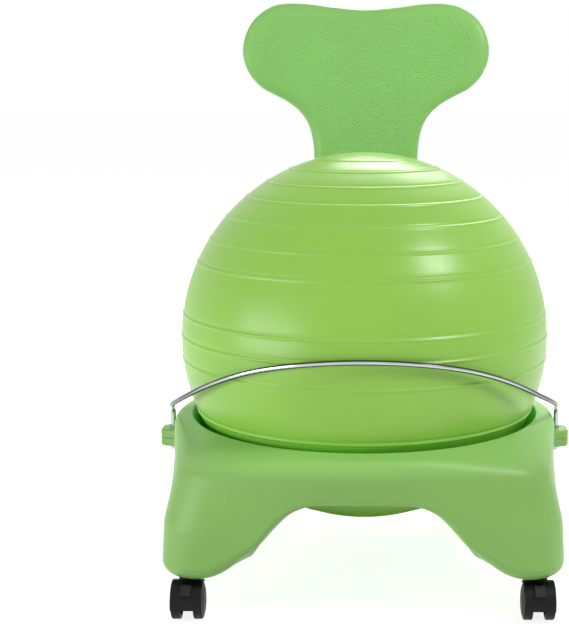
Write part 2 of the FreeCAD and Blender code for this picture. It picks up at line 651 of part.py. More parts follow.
def caster_stem():
    """The steel stem: a groove for the grip ring, a flange under the foot and a spindle in the hood."""
    stem = cylinder(STEM_TOP_R, V(0, 0, STEM_FLANGE_Z[0]), V(0, 0, STEM_TOP_Z))
    stem = stem.fuse(cylinder(STEM_FLANGE_R, V(0, 0, STEM_FLANGE_Z[0]), V(0, 0, STEM_FLANGE_Z[1])))
    stem = stem.fuse(cylinder(STEM_LOW_R, V(0, 0, STEM_FOOT_Z), V(0, 0, STEM_FLANGE_Z[0])))
    groove = cylinder(STEM_TOP_R + 1, V(0, 0, GROOVE_Z[0]), V(0, 0, GROOVE_Z[1]))
    return stem.cut(groove.cut(cylinder(GROOVE_R, V(0, 0, GROOVE_Z[0]), V(0, 0, GROOVE_Z[1]))))


def grip_ring():
    """The split spring ring in the stem's groove."""
    ring = cylinder(SOCKET_IN_R, V(0, 0, GROOVE_Z[0] + 0.1), V(0, 0, GROOVE_Z[1] - 0.1))
    ring = ring.cut(cylinder(GROOVE_R, V(0, 0, GROOVE_Z[0]), V(0, 0, GROOVE_Z[1])))
    return ring.cut(box((0, 10), (-0.8, 0.8), (GROOVE_Z[0], GROOVE_Z[1])))


def caster_socket():
    """The sleeve pressed into the foot."""
    sleeve = cylinder(SOCKET_OUT_R, V(0, 0, SOCKET_FLANGE_Z), V(0, 0, SOCKET_TOP_Z))
    sleeve = sleeve.fuse(cylinder(SOCKET_FLANGE_R, V(0, 0, SOCKET_FLANGE_Z), V(0, 0, FOOT_Z + 2.5)))
    return sleeve.cut(cylinder(SOCKET_IN_R, V(0, 0, SOCKET_FLANGE_Z), V(0, 0, SOCKET_TOP_Z - 1.5)))


def place(shape, x_sign, y_sign):
    """A caster piece moved under its foot, trailing straight away from the middle."""
    made = shape.copy()
    made.rotate(ORIGIN, Z_AXIS, 90.0 * y_sign)
    made.translate(V(x_sign * CASTER_XY, y_sign * CASTER_XY, 0))
    return made


def main():
    os.makedirs("parts", exist_ok=True)
    save("base_front_half", base_half(180.0, -1))
    save("base_rear_half", base_half(0.0, 1))
    save("retaining_bar", retaining_bar())
    save("bar_washers", bar_washers())
    save("bar_nuts", bar_nuts())
    save("ball", ball_skin())
    save("ball_valve_seat", valve_seat())
    save("ball_valve_plug", valve_plug())
    save("backrest", backrest())
    save("backrest_bolts", back_bolts())
    save("backrest_washers", back_washers())
    save("backrest_inserts", back_inserts())
    sockets, rings = [], []
    for name, x_sign, y_sign, brake in CASTERS:
        sockets.append(place(caster_socket(), x_sign, y_sign))
        rings.append(place(grip_ring(), x_sign, y_sign))
        pieces = [("stem", caster_stem()), ("hood", caster_hood(brake)), ("axle", caster_axle()),
                  ("wheel_a", caster_wheel(-1)), ("wheel_b", caster_wheel(1))]
        if brake:
            pieces += [("brake_lever", brake_lever()), ("brake_pin", brake_pin())]
        for piece, shape in pieces:
            save("caster_%s_%s" % (name, piece), place(shape, x_sign, y_sign))
    save("caster_sockets", Part.makeCompound(sockets))
    save("caster_grip_rings", Part.makeCompound(rings))


if __name__ == "__main__":
    main()
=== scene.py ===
"""Balance ball chair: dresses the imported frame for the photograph's view and for every other side."""
import json
import math

import bmesh
import bpy
import numpy as np
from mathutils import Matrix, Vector
from mathutils.geometry import delaunay_2d_cdt


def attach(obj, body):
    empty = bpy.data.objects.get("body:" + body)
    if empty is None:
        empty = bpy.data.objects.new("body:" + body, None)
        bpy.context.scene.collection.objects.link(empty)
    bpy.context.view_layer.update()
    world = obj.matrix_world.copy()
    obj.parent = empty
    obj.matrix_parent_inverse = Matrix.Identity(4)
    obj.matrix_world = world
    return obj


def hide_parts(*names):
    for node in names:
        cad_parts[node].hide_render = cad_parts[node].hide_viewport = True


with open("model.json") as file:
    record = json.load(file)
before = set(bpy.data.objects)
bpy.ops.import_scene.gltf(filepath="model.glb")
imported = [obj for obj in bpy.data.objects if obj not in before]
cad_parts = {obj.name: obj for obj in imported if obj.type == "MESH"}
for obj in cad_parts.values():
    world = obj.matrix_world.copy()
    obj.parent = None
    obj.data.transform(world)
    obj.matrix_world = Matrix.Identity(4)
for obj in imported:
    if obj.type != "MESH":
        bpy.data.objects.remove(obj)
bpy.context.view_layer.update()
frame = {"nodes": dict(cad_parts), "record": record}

NODES = frame["nodes"]

# Lengths are in metres, and angles in degrees, unless a comment says otherwise

# The photograph in pixels: its size, its focal length, and the point where the ball's middle falls
PHOTO_WIDTH = 569.0
PHOTO_HEIGHT = 632.0
FOCAL_LENGTH = 1356.5
BALL_ACROSS = 364.5
BALL_DOWN = 334.5

# The camera: the width of its sensor in millimetres, its distance from the ball's middle, how far it sees,
# and its angles above the ball and round to the right
SENSOR = 36.0
CAMERA_DISTANCE = 1.875
CAMERA_SIGHT = 50.0
CAMERA_RISE = 10.6
CAMERA_TURN = 0.45

# Each lamp's place, its width and height, and its power in watts, then the spot that all of them face
LAMPS = {
    "key": ((1.50, -0.92, 2.00), (0.55, 0.65), 29.5),
    "top": ((0.25, 1.72, 1.82), (1.0, 1.0), 32.0),
    "side": ((-2.40, -1.48, 0.55), (1.9, 1.0), 35.5),
}
LAMP_AIM = (0.0, 0.0, 0.33)

# The light from all round, the floor's width, and the glow and the tone that a look at the floor adds up
AMBIENT = 0.25
FLOOR_SIZE = 60.0
FLOOR_GLOW = 0.84
FLOOR_SEEN = (0.60, 0.60, 0.60, 1.0)
FLOOR_ROUGHNESS = 0.7
WHITE = (1.0, 1.0, 1.0, 1.0)

# Colours as the eye sees them, from 0 to 255
BASE_GREEN = (137, 186, 97)
# Painted light: the paler green that the base's shoulder is given, standing in for light from above
LIT_SHOULDER_GREEN = (153, 208, 110)
# Painted shade: the deep green inside the ring, standing in for shade and green light bounced off the ball
RING_SHADE_GREEN = (72, 205, 6)
BACK_GREEN = (141, 202, 109)
BALL_GREEN = (150, 205, 80)
# Painted shade: the ball's deeper green where it sits in the ring's shade
SEATED_SHADE_GREEN = (100, 210, 8)
VALVE_WHITE = (225, 226, 218)
NYLON_BLACK = (13, 13, 14)
TREAD_BLACK = (15, 15, 16)
LEVER_BLACK = (21, 21, 22)

# Colours of the metals, as the share of each light that they give back
CHROME = (0.50, 0.56, 0.54, 1.0)
# Painted reflection: the dark lines along the plated rod
CHROME_REFLECTION_DARK = (0.045, 0.050, 0.055, 1.0)
ZINC = (0.62, 0.63, 0.65, 1.0)
BLACK_STEEL = (0.05, 0.05, 0.055, 1.0)

# The ball's radius and the height of its middle, and the angle of each leg from the side
BALL_R = 0.250
BALL_Z = 0.318
LEG_TURN = 45.0


def make_camera():
    """The photograph's view: from the front and a little above the ball."""
    data = bpy.data.cameras.new("camera")
    data.sensor_width = SENSOR
    data.sensor_fit = "AUTO"
    data.lens = SENSOR * FOCAL_LENGTH / PHOTO_HEIGHT
    data.shift_x = (PHOTO_WIDTH / 2 - BALL_ACROSS) / PHOTO_HEIGHT
    data.shift_y = (BALL_DOWN - PHOTO_HEIGHT / 2) / PHOTO_HEIGHT
    data.clip_end = CAMERA_SIGHT
    camera = bpy.data.objects.new("camera", data)
    bpy.context.scene.collection.objects.link(camera)
    rise = math.radians(CAMERA_RISE)
    turn = math.radians(CAMERA_TURN)
    level = math.cos(rise)
    direction = Vector((level * math.sin(turn), -level * math.cos(turn), math.sin(rise)))
    target = Vector((0.0, 0.0, BALL_Z))
    camera.location = target + direction * CAMERA_DISTANCE
    camera.rotation_euler = (target - camera.location).to_track_quat("-Z", "Y").to_euler()
    bpy.context.scene.camera = camera


def make_lamps():
    """Soft rectangular lamps, all turned to the chair."""
    for name, (place, size, power) in LAMPS.items():
        data = bpy.data.lights.new(name, "AREA")
        data.shape = "RECTANGLE"
        data.size, data.size_y = size
        data.energy = power
        lamp = bpy.data.objects.new(name, data)
        bpy.context.scene.collection.objects.link(lamp)
        lamp.location = place
        lamp.rotation_euler = (Vector(LAMP_AIM) - Vector(place)).to_track_quat("-Z", "Y").to_euler()


def make_surroundings():
    """White surroundings that give only a faint light, and a wide pale floor."""
    world = bpy.data.worlds.new("studio")
    bpy.context.scene.world = world
    world.use_nodes = True
    tree = world.node_tree
    tree.nodes.clear()
    out = tree.nodes.new("ShaderNodeOutputWorld")
    mix = mixed(tree, seen_directly(tree), white_background(tree, AMBIENT), white_background(tree, 1.0))
    tree.links.new(mix, out.inputs[0])

    bpy.ops.mesh.primitive_plane_add(size=FLOOR_SIZE, location=(0.0, 0.0, 0.0))
    floor = bpy.context.object
    floor.name = "floor"
    floor.data.materials.append(floor_material())


def white_background(tree, strength):
    """White surroundings of this brightness."""
    node = tree.nodes.new("ShaderNodeBackground")
    node.inputs["Color"].default_value = WHITE
    node.inputs["Strength"].default_value = strength
    return node.outputs[0]


def seen_directly(tree):
    """1 where the camera, a mirror or a clear surface looks, and 0 for the light that the chair is given."""
    path = tree.nodes.new("ShaderNodeLightPath").outputs
    looked_at = combined(tree, "MAXIMUM", path["Is Camera Ray"], path["Is Glossy Ray"])
    return combined(tree, "MAXIMUM", looked_at, path["Is Transmission Ray"])


def mixed(tree, share, first, second):
    """Two shaders mixed, with a share from 0 to 1 of the second."""
    node = tree.nodes.new("ShaderNodeMixShader")
    for socket, source in zip(node.inputs, (share, first, second)):
        tree.links.new(source, socket)
    return node.outputs[0]


def combined(tree, operation, first, second=None):
    """A reckoning, named by its operation, on one or two sockets or numbers."""
    node = tree.nodes.new("ShaderNodeMath")
    node.operation = operation
    for socket, value in zip(node.inputs, (first, second)):
        if isinstance(value, (int, float)):
            socket.default_value = value
        elif value is not None:
            tree.links.new(value, socket)
    return node.outputs[0]


def product(tree, first, *others):
    """Several sockets or numbers multiplied together."""
    for other in others:
        first = combined(tree, "MULTIPLY", first, other)
    return first


def apart(tree, first, second):
    """How far two sockets or numbers are apart."""
    return combined(tree, "ABSOLUTE", combined(tree, "SUBTRACT", first, second))


def ranged(tree, source, start, end):
    """0 at one value of the source, 1 at the other, clamped and eased."""
    node = tree.nodes.new("ShaderNodeMapRange")
    node.interpolation_type = "SMOOTHSTEP"
    node.inputs["From Min"].default_value = min(start, end)
    node.inputs["From Max"].default_value = max(start, end)
    node.inputs["To Min"].default_value = 0.0 if start < end else 1.0
    node.inputs["To Max"].default_value = 1.0 if start < end else 0.0
    tree.links.new(source, node.inputs["Value"])
    return node.outputs[0]


def three_parts(tree, kind):
    """The parts along x, y and z of a point's place, "Object", or of the way its surface faces, "Normal"."""
    source = tree.nodes.new("ShaderNodeTexCoord")
    split = tree.nodes.new("ShaderNodeSeparateXYZ")
    tree.links.new(source.outputs[kind], split.inputs[0])
    return split.outputs


def noise(tree, scale, detail, rough=0.55):
    """Cloudy noise that is fixed to the object."""
    place = tree.nodes.new("ShaderNodeTexCoord")
    texture = tree.nodes.new("ShaderNodeTexNoise")
    texture.inputs["Scale"].default_value = scale
    texture.inputs["Detail"].default_value = detail
    texture.inputs["Roughness"].default_value = rough
    tree.links.new(place.outputs["Object"], texture.inputs["Vector"])
    return texture.outputs[0]


def new_material(name):
    """A material with one plain surface shader."""
    material = bpy.data.materials.new(name)
    material.use_nodes = True
    tree = material.node_tree
    tree.nodes.clear()
    out = tree.nodes.new("ShaderNodeOutputMaterial")
    shader = tree.nodes.new("ShaderNodeBsdfPrincipled")
    tree.links.new(shader.outputs[0], out.inputs[0])
    return material, tree, shader


def linear(colour):
    """A colour given as the eye sees it, from 0 to 255, as the share of each light that it gives back."""
    def share(value):
        value = value / 255.0
        return value / 12.92 if value <= 0.04045 else ((value + 0.055) / 1.055) ** 2.4
    return tuple(share(value) for value in colour) + (1.0,)


def toned(colour, factor):
    """A colour made darker or lighter."""
    return tuple(min(1.0, value * factor) for value in colour[:3]) + (1.0,)


def drifting(tree, shader, source, colour, dark, light, start, end):
    """A base colour that drifts from a darker to a lighter tone as the source goes from start to end."""
    node = tree.nodes.new("ShaderNodeValToRGB")
    stops = node.color_ramp.elements
    stops[0].position = start
    stops[0].color = toned(colour, dark)
    stops[1].position = end
    stops[1].color = toned(colour, light)
    tree.links.new(source, node.inputs[0])
    tree.links.new(node.outputs[0], shader.inputs["Base Color"])


def uneven_gloss(tree, shader, source, low, high):
    """A roughness that wanders between two values with the source."""
    node = tree.nodes.new("ShaderNodeMapRange")
    node.inputs["To Min"].default_value = low
    node.inputs["To Max"].default_value = high
    tree.links.new(source, node.inputs["Value"])
    tree.links.new(node.outputs[0], shader.inputs["Roughness"])


def bump(tree, shader, height, rise, under=None):
    """Relief of this rise on the surface, on top of the relief under it."""
    node = tree.nodes.new("ShaderNodeBump")
    node.inputs["Distance"].default_value = rise
    tree.links.new(height, node.inputs["Height"])
    if under is not None:
        tree.links.new(under, node.inputs["Normal"])
    tree.links.new(node.outputs["Normal"], shader.inputs["Normal"])
    return node.outputs["Normal"]


# The sockets that a mix of colours uses: the two colours that go in and the one that comes out
MIX_FIRST = 6
MIX_SECOND = 7
MIX_RESULT = 2


def tinted(tree, shader, share, colour):
    """Runs the base colour over to another one by a share from 0 to 1."""
    socket = shader.inputs["Base Color"]
    before = socket.links[0].from_socket
    node = tree.nodes.new("ShaderNodeMix")
    node.data_type = "RGBA"
    tree.links.new(share, node.inputs[0])
    tree.links.new(before, node.inputs[MIX_FIRST])
    node.inputs[MIX_SECOND].default_value = colour
    tree.links.new(node.outputs[MIX_RESULT], socket)


def moulded_plastic(name, colour, rough=(0.36, 0.45), grain=0.00012, specular=0.34):
    """Satin moulded plastic: a hair of colour drift, uneven gloss and a fine leathery grain."""
    material, tree, shader = new_material(name)
    drift = noise(tree, scale=5.0, detail=3.0)
    drifting(tree, shader, drift, linear(colour), dark=0.955, light=1.04, start=0.32, end=0.68)
    uneven_gloss(tree, shader, noise(tree, scale=60.0, detail=4.0), *rough)
    shader.inputs["Specular IOR Level"].default_value = specular
    swell = bump(tree, shader, noise(tree, scale=14.0, detail=2.0), rise=0.0009)
    bump(tree, shader, noise(tree, scale=900.0, detail=2.0), rise=grain, under=swell)
    return material, tree, shader


# Each pair below runs from no effect to the full one. The radii and heights of the painted shade, a deeper
# green, inside the ring, and the heights of the painted light that makes the shoulder paler
RING_SHADE_RADII = (0.2405, 0.2340)
RING_SHADE_HEIGHTS = (0.150, 0.158)
LIT_SHOULDER_HEIGHTS = (0.181, 0.203)
# The mould line down each side of a leg: its angle from the leg's middle, how far it leans in towards the
# foot and at which heights, the radius that turns its angles into lengths, and where it fades out
LEG_LINE_TURN = 10.6
LEG_LINE_LEAN = 7.5
LEG_LINE_LEAN_HEIGHTS = (0.160, 0.072)
LEG_LINE_RADIUS = 0.29
LEG_LINE_EDGE = (0.0011, 0.0001)
LEG_LINE_LOW_END = (0.092, 0.100)
LEG_LINE_HIGH_END = (0.190, 0.182)
LEG_LINE_INNER_END = (0.255, 0.262)
# The line round a leg's foot, and the rise of both lines
FOOT_LINE_Z = 0.0685
FOOT_LINE_EDGE = (0.0012, 0.0001)
FOOT_LINE_INNER_END = (0.300, 0.312)
LINE_RISE = 0.0003


def base_plastic():
    """The base's plastic: painted shade in a deeper green inside the ring, painted light on a paler
    shoulder, and the legs' mould lines.
    """
    material, tree, shader = moulded_plastic("base_plastic", BASE_GREEN)
    x, y, z = three_parts(tree, "Object")
    radius = combined(tree, "SQRT", combined(tree, "ADD", product(tree, x, x), product(tree, y, y)))
    # Painted shade inside the ring, where shade and bounced green light fall, and painted light on the upper
    # shoulder
    inside = product(tree, ranged(tree, radius, *RING_SHADE_RADII), ranged(tree, z, *RING_SHADE_HEIGHTS))
    tinted(tree, shader, ranged(tree, z, *LIT_SHOULDER_HEIGHTS), linear(LIT_SHOULDER_GREEN))
    tinted(tree, shader, inside, linear(RING_SHADE_GREEN))

    turn = combined(tree, "ARCTAN2", combined(tree, "ABSOLUTE", y), combined(tree, "ABSOLUTE", x))
    from_leg = apart(tree, turn, math.radians(LEG_TURN))
    lean = product(tree, ranged(tree, z, *LEG_LINE_LEAN_HEIGHTS), math.radians(LEG_LINE_LEAN))
    line_turn = combined(tree, "SUBTRACT", math.radians(LEG_LINE_TURN), lean)
    from_line = product(tree, apart(tree, from_leg, line_turn), LEG_LINE_RADIUS)
    leg_line = product(tree, ranged(tree, from_line, *LEG_LINE_EDGE), ranged(tree, z, *LEG_LINE_LOW_END),
                       ranged(tree, z, *LEG_LINE_HIGH_END), ranged(tree, radius, *LEG_LINE_INNER_END))
    foot_line = product(tree, ranged(tree, apart(tree, z, FOOT_LINE_Z), *FOOT_LINE_EDGE),
                        ranged(tree, radius, *FOOT_LINE_INNER_END))
    lines = combined(tree, "MAXIMUM", leg_line, foot_line)
    grain = shader.inputs["Normal"].links[0].from_socket
    bump(tree, shader, lines, rise=LINE_RISE, under=grain)
    return material


# The ball's paint, each pair from no effect to the full one: the heights over which the painted shade, a
# deeper green where it sits in the ring, comes in from above and from below, those over which its shine
# comes up, and that shine
SEATED_SHADE_FROM_ABOVE = (0.240, 0.172)
SEATED_SHADE_FROM_BELOW = (0.118, 0.150)
SHINE_HEIGHTS = (0.10, 0.22)
BALL_SHINE = 0.46


def ball_vinyl():
    """Inflated vinyl: silky, with a faint orange peel, with painted shade in a deeper green and less shine
    where it sits in the ring.
    """
    material, tree, shader = new_material("ball_vinyl")
    drift = noise(tree, scale=4.0, detail=2.0)
    drifting(tree, shader, drift, linear(BALL_GREEN), dark=0.96, light=1.05, start=0.3, end=0.7)
    uneven_gloss(tree, shader, noise(tree, scale=35.0, detail=3.0), low=0.29, high=0.38)
    shader.inputs["Sheen Weight"].default_value = 0.03
    shader.inputs["Sheen Roughness"].default_value = 0.4
    swell = bump(tree, shader, noise(tree, scale=9.0, detail=1.0), rise=0.0015)
    bump(tree, shader, noise(tree, scale=420.0, detail=2.0), rise=0.00005, under=swell)
    height = three_parts(tree, "Object")[2]
    # Painted shade: a deeper green where the ball sits in the ring
    seated_shade = product(tree, ranged(tree, height, *SEATED_SHADE_FROM_ABOVE),
                     ranged(tree, height, *SEATED_SHADE_FROM_BELOW))
    tinted(tree, shader, seated_shade, linear(SEATED_SHADE_GREEN))
    shine = product(tree, ranged(tree, height, *SHINE_HEIGHTS), BALL_SHINE)
    tree.links.new(shine, shader.inputs["Specular IOR Level"])
    return material


# How much rougher than the rest the handling marks on the metals are
MARKS_ROUGHER = 0.12


def metal(name, colour, rough, scratch=0.0):
    """Plated metal with fine handling marks in its gloss."""
    material, tree, shader = new_material(name)
    tone = noise(tree, scale=30.0, detail=3.0)
    drifting(tree, shader, tone, colour, dark=0.93, light=1.0, start=0.35, end=0.65)
    shader.inputs["Metallic"].default_value = 1.0
    marks = noise(tree, scale=260.0, detail=5.0, rough=0.7)
    uneven_gloss(tree, shader, marks, low=rough, high=rough + MARKS_ROUGHER)
    if scratch:
        bump(tree, shader, marks, rise=scratch)
    return material, tree, shader


# Where the plated rod's painted reflection puts dark lines, each pair from no effect to the full one: how
# far its surface faces up, down and to a side, and the places along y between which the line on its lower
# side comes in
BAR_UP = (0.32, 0.58)
BAR_DOWN = (-0.30, -0.62)
BAR_ASIDE = (0.60, 0.86)
BAR_FRONT = (-0.040, -0.085)


def bar_chrome():
    """Bright plating with painted reflections: the dark lines that a polished rod shows along its upper and
    lower sides.
    """
    material, tree, shader = metal("bar_chrome", CHROME, rough=0.10)
    facing_x, _, facing_z = three_parts(tree, "Normal")
    in_front = ranged(tree, three_parts(tree, "Object")[1], *BAR_FRONT)
    upper = ranged(tree, facing_z, *BAR_UP)
    lower = product(tree, ranged(tree, facing_z, *BAR_DOWN), in_front)
    aside = ranged(tree, combined(tree, "ABSOLUTE", facing_x), *BAR_ASIDE)
    # Painted reflection: the dark lines on the rod's upper, lower and side faces
    dark = combined(tree, "MAXIMUM", combined(tree, "MAXIMUM", upper, lower), aside)
    tinted(tree, shader, dark, CHROME_REFLECTION_DARK)
    return material


def floor_material():
    """A pale floor that burns out to white where nothing shades it."""
    material, tree, shader = new_material("floor")
    tone = noise(tree, scale=3.0, detail=3.0)
    drifting(tree, shader, tone, WHITE, dark=0.88, light=0.92, start=0.3, end=0.7)
    shader.inputs["Roughness"].default_value = FLOOR_ROUGHNESS
    glow = tree.nodes.new("ShaderNodeEmission")
    glow.inputs["Strength"].default_value = FLOOR_GLOW
    dim = tree.nodes.new("ShaderNodeBsdfDiffuse")
    dim.inputs["Color"].default_value = FLOOR_SEEN
    both = tree.nodes.new("ShaderNodeAddShader")
    tree.links.new(glow.outputs[0], both.inputs[0])
    tree.links.new(dim.outputs[0], both.inputs[1])
    surface = shader.outputs[0].links[0].to_socket
    tree.links.new(mixed(tree, seen_directly(tree), shader.outputs[0], both.outputs[0]), surface)
    return material


MAT = {}


def make_materials():
    """Every finish of the chair, by the name of its slot, and the lever's own one."""
    MAT["base_plastic"] = base_plastic()
    MAT["back_plastic"] = moulded_plastic("back_plastic", BACK_GREEN)[0]
    MAT["ball_vinyl"] = ball_vinyl()
    MAT["valve_plastic"] = moulded_plastic("valve_plastic", VALVE_WHITE, grain=0.00004)[0]
    MAT["bar_chrome"] = bar_chrome()
    MAT["zinc_steel"] = metal("zinc_steel", ZINC, rough=0.26, scratch=0.00003)[0]
    MAT["black_steel"] = metal("black_steel", BLACK_STEEL, rough=0.35, scratch=0.00003)[0]
    MAT["black_nylon"] = moulded_plastic("black_nylon", NYLON_BLACK, rough=(0.34, 0.44), grain=0.00006,
                                         specular=0.2)[0]
    MAT["black_tread"] = moulded_plastic("black_tread", TREAD_BLACK, rough=(0.42, 0.55), grain=0.00005,
                                         specular=0.2)[0]
    MAT["lever_nylon"] = moulded_plastic("lever_nylon", LEVER_BLACK, rough=(0.30, 0.40), grain=0.00004,
                                         specular=0.3)[0]


def dress_nodes():
    """Gives every solid of the frame its finish."""
    for part in frame["record"]["subparts"]:
        node = NODES[part["node"]]
        finish = "lever_nylon" if "brake_lever" in part["node"] else part["material_slot"]
        node.data.materials.clear()
        node.data.materials.append(MAT[finish])


def add_piece(name, points, faces, body, replaced, slot):
    """A smooth piece that rides on a body and stands in for the nodes that it replaces."""
    mesh = bpy.data.meshes.new(name)
    mesh.from_pydata([tuple(point) for point in points], [], faces)
    mesh.validate()
    mesh.polygons.foreach_set("use_smooth", [True] * len(mesh.polygons))
    mesh.materials.append(MAT[slot])
    piece = bpy.data.objects.new(name, mesh)
    bpy.context.scene.collection.objects.link(piece)
    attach(piece, body)
    if replaced:
        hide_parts(*replaced)
    return piece


def weld(piece, distance):
    """Joins coincident points and turns every face outwards."""
    made = bmesh.new()
    made.from_mesh(piece.data)
    bmesh.ops.remove_doubles(made, verts=made.verts, dist=distance)
    bmesh.ops.recalc_face_normals(made, faces=made.faces)
    made.to_mesh(piece.data)
    made.free()


def shade_by_angle(piece, degrees):
    """Smooth shading that breaks at the true edges."""
    piece.data.set_sharp_from_angle(angle=math.radians(degrees))


def band(first, second, count):
    """Faces between two closed rows of points."""
    return [(first + i, first + (i + 1) % count, second + (i + 1) % count, second + i) for i in range(count)]


def fan(start, count, tip):
    """Faces between a closed row of points and one point."""
    return [(start + i, start + (i + 1) % count, tip) for i in range(count)]


def turned(profile, segments, place):
    """Points and faces of a profile (radius, along) turned in a full circle, each point put in place."""
    points, faces = [], []
    for radius, along in profile:
        for i in range(segments):
            turn = 2 * math.pi * i / segments
            points.append(place(radius * math.cos(turn), radius * math.sin(turn), along))
    for row in range(len(profile) - 1):
        faces += band(row * segments, (row + 1) * segments, segments)
    return points, faces


def quarter(steps):
    """The sine and cosine at even steps from 0 to 90 degrees."""
    turns = [math.radians(90.0 * step / steps) for step in range(steps + 1)]
    return [(math.sin(turn), math.cos(turn)) for turn in turns]


# Heights of the ribs from the ball's middle, and the share of a full rib that the fainter ones keep
RIB_LEVELS = (-0.222, -0.196, -0.125, -0.096, -0.024, 0.008, 0.037, 0.106, 0.137, 0.166, 0.192, 0.212, 0.229,
              0.241)
FAINT_RIBS = {-0.125: 0.35, -0.196: 0.55}
# A rib's rise and half width, then the groove above it: its depth, its distance from the rib and half width
RIB_RISE = 0.00095
RIB_HALF_WIDTH = 0.0017
GROOVE_DEPTH = 0.0005
GROOVE_AWAY = 0.0039
GROOVE_HALF_WIDTH = 0.0018
# The skin's rows: the angles of the last one and between two, then, in radians, the closer ones at a rib and
# the least gap
BALL_SEGMENTS = 200
BALL_LAST_ROW = 88.0
BALL_ROW_STEP = 1.1
RIB_ROWS = range(-6, 12)
RIB_ROW_STEP = 0.0024
LEAST_ROW_GAP = 0.0012
# The lip that is turned in round the valve, as radius and height above the ball's lowest point
VALVE_LIP = ((0.0061, 0.0090), (0.0061, 0.0012), (0.0069, 0.0001))


def rib_height(angle):
    """How far the skin stands out from the plain sphere at an angle, in radians, above its equator."""
    height = 0.0
    for level in RIB_LEVELS:
        along = (angle - math.asin(level / BALL_R)) * BALL_R
        share = FAINT_RIBS.get(level, 1.0)
        height += share * RIB_RISE * math.exp(-(along / RIB_HALF_WIDTH) ** 2)
        height -= share * GROOVE_DEPTH * math.exp(-((along - GROOVE_AWAY) / GROOVE_HALF_WIDTH) ** 2)
    return height


def ball_angles():
    """Angles of the skin's rows above the equator, closer together at the ribs."""
    even = np.arange(-BALL_LAST_ROW, BALL_LAST_ROW + BALL_ROW_STEP / 2, BALL_ROW_STEP)
    angles = set(np.radians(even))
    for level in RIB_LEVELS:
        middle = math.asin(level / BALL_R)
        angles |= {middle + row * RIB_ROW_STEP for row in RIB_ROWS}
    angles = sorted(angles)
    kept = angles[:1]
    for angle in angles[1:]:
        if angle - kept[-1] > LEAST_ROW_GAP:
            kept.append(angle)
    return kept


def make_ball():
    """The ribbed skin, with its lip turned in round the valve."""
    profile = [(radius, BALL_Z - BALL_R + height) for radius, height in VALVE_LIP]
    for angle in ball_angles():
        radius = BALL_R + rib_height(angle)
        profile.append((radius * math.cos(angle), BALL_Z + radius * math.sin(angle)))
    points, faces = turned(profile, BALL_SEGMENTS, lambda u, v, along: (u, v, along))
    points.append((0.0, 0.0, BALL_Z + BALL_R))
    faces += fan((len(profile) - 1) * BALL_SEGMENTS, BALL_SEGMENTS, len(points) - 1)
    add_piece("ball_skin", points, faces, "ball", ("ball",), "ball_vinyl")


def smooth_loop(corners, step):
    """A closed curve through the corners, with points about a step apart."""
    corners = np.array(corners, float)
    count = len(corners)
    made = []
    for i in range(count):
        p0, p1, p2, p3 = (corners[(i + k) % count] for k in (-1, 0, 1, 2))
        t1 = np.linalg.norm(p1 - p0) ** 0.5
        t2 = t1 + np.linalg.norm(p2 - p1) ** 0.5
        t3 = t2 + np.linalg.norm(p3 - p2) ** 0.5
        parts = max(1, int(round(np.linalg.norm(p2 - p1) / step)))
        for k in range(parts):
            t = t1 + (t2 - t1) * k / parts
            a1 = p0 * (t1 - t) / t1 + p1 * t / t1
            a2 = p1 * (t2 - t) / (t2 - t1) + p2 * (t - t1) / (t2 - t1)
            a3 = p2 * (t3 - t) / (t3 - t2) + p3 * (t - t2) / (t3 - t2)
            b1 = a1 * (t2 - t) / t2 + a2 * t / t2
            b2 = a2 * (t3 - t) / (t3 - t1) + a3 * (t - t1) / (t3 - t1)
            made.append(b1 * (t2 - t) / (t2 - t1) + b2 * (t - t1) / (t2 - t1))
    return np.array(made)


def outward(outline):
    """Unit normals of a closed outline, pointing away from its inside."""
    along = np.roll(outline, -1, axis=0) - np.roll(outline, 1, axis=0)
    along /= np.linalg.norm(along, axis=1)[:, None]
    normal = np.stack([along[:, 1], -along[:, 0]], axis=1)
    area = np.sum(outline[:, 0] * np.roll(outline[:, 1], -1) - outline[:, 1] * np.roll(outline[:, 0], -1))
    return normal if area > 0 else -normal


# A width that stands in for none at all, and how triangles are laid: only inside the loop, and with points
# this near joined
TINY = 1e-18
ONLY_INSIDE = 1
JOINED_WITHIN = 1e-7
# How far a net of points keeps from its edge, as a share of the net's spacing
NET_CLEAR = 0.45


def distance_inside(points, loop):
    """Distance from each point to a closed loop, positive inside."""
    across, up = points[:, 0], points[:, 1]
    nearest = np.full(len(points), np.inf)
    inside = np.zeros(len(points), bool)
    for (ax, az), (bx, bz) in zip(loop, np.roll(loop, -1, axis=0)):
        dx, dz = bx - ax, bz - az
        share = np.clip(((across - ax) * dx + (up - az) * dz) / (dx * dx + dz * dz + TINY), 0, 1)
        nearest = np.minimum(nearest, np.hypot(across - ax - share * dx, up - az - share * dz))
        crosses = (az > up) != (bz > up)
        where = ax + (up - az) * dx / (dz if dz else TINY)
        inside ^= crosses & (across < where)
    return np.where(inside, nearest, -nearest)


def fill_inside(loop, inside):
    """Triangles over the area in a closed loop, through extra points inside it."""
    count = len(loop)
    edges = [(i, (i + 1) % count) for i in range(count)]
    spots = [Vector(point) for point in (*loop, *inside)]
    verts, _, faces, *_ = delaunay_2d_cdt(spots, edges, [], ONLY_INSIDE, JOINED_WITHIN)
    return [tuple(vert) for vert in verts], [tuple(face) for face in faces]


def net_inside(loop, spacing):
    """Points of a square net that lie inside a closed loop and clear of it."""
    low = np.floor(loop.min(0) / spacing)
    high = np.ceil(loop.max(0) / spacing)
    columns = np.arange(low[0], high[0] + 1) * spacing
    rows = np.arange(low[1], high[1] + 1) * spacing
    net = np.array([(x, z) for x in columns for z in rows])
    return net[distance_inside(net, loop) > spacing * NET_CLEAR]


